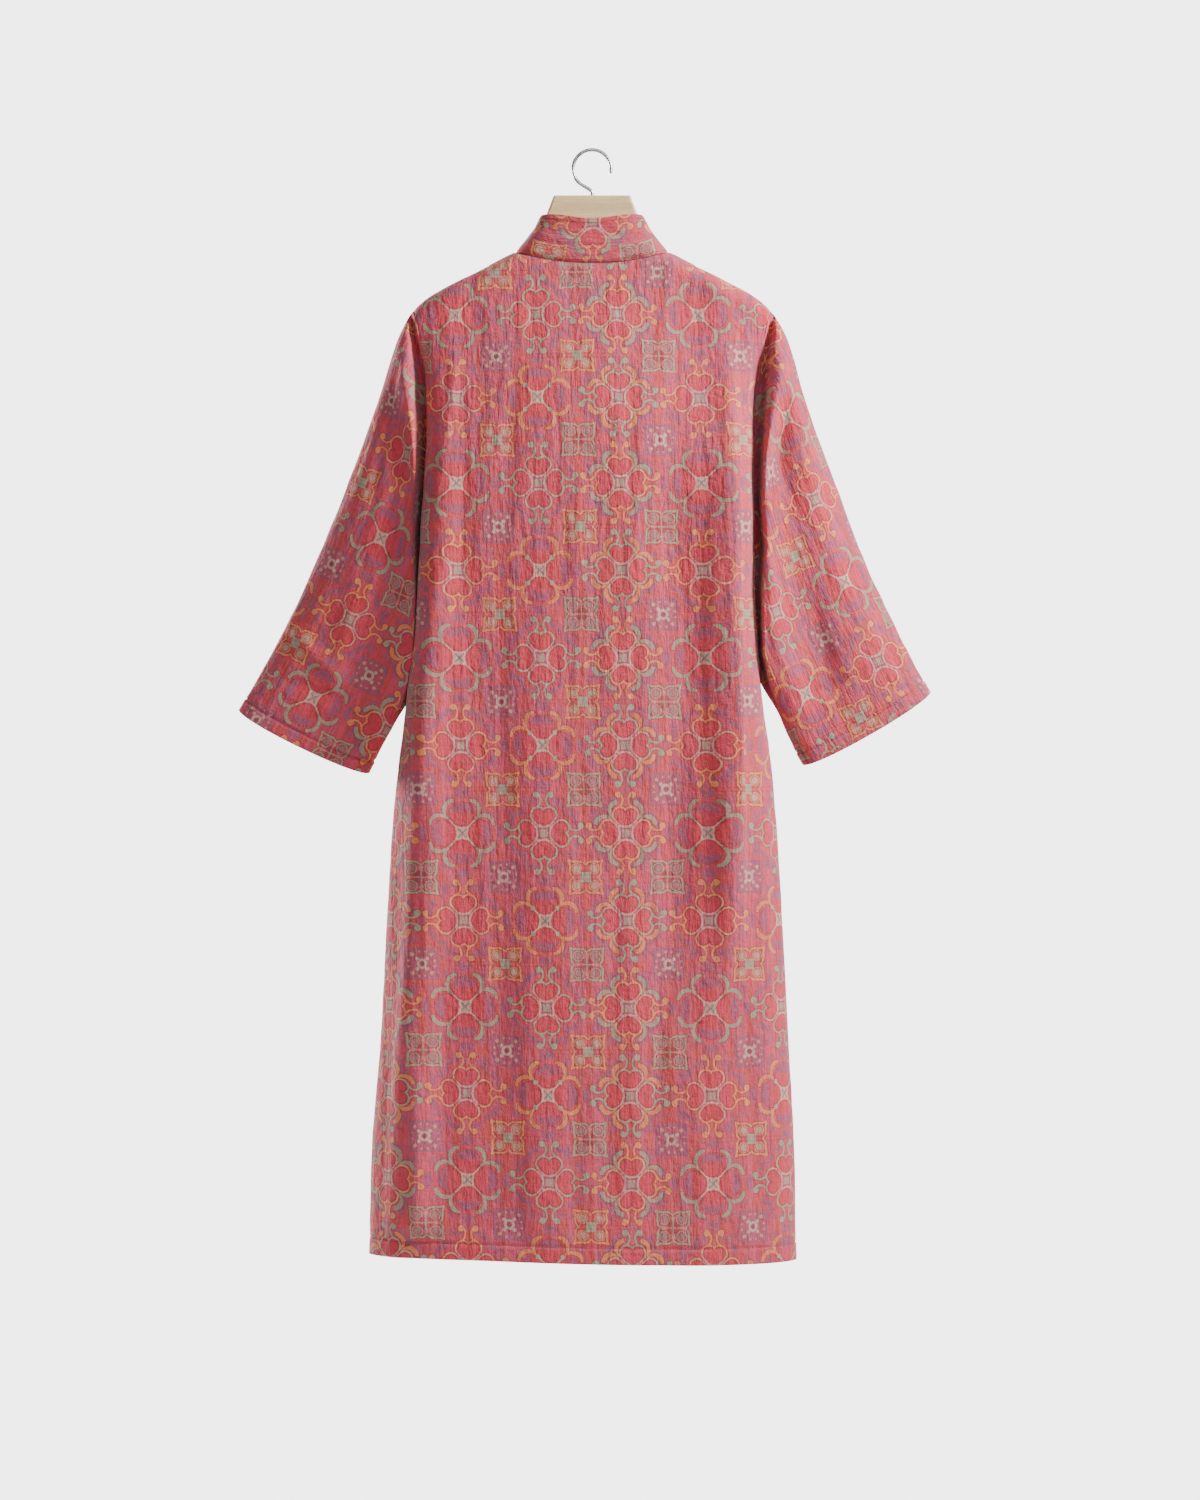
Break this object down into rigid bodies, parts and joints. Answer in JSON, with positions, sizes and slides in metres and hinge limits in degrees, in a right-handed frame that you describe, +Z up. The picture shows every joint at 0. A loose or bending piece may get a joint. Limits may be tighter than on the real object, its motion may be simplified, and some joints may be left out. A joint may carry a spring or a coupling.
{
  "type": "kimono bathrobe on a hanger",
  "caption": "Mid-length kimono robe with wide three-quarter sleeves, a neck band down both fronts and an open hem, hung on a wooden hanger with a wire hook.",
  "frame": {"origin": "where the inside of the hook's bend rests on a rail", "axes": "+Z up, +Y out of the robe's back, +X to the wearer's left"},
  "size_m": [0.76, 0.1515, 1.2198],
  "materials": {
    "gauze": "matte crinkled cotton gauze, rose red with a woven repeat of squares and leaf rosettes",
    "pale_wood": "satin lacquer",
    "steel_wire": "bright zinc"
  },
  "bodies": {
    "root": {"back": "gauze", "front_left": "gauze", "front_right": "gauze", "sleeve_left": "gauze", "sleeve_right": "gauze", "neck_band": "gauze", "hanger_wood": "pale_wood", "hanger_hook": "steel_wire"}
  },
  "joints": []
}
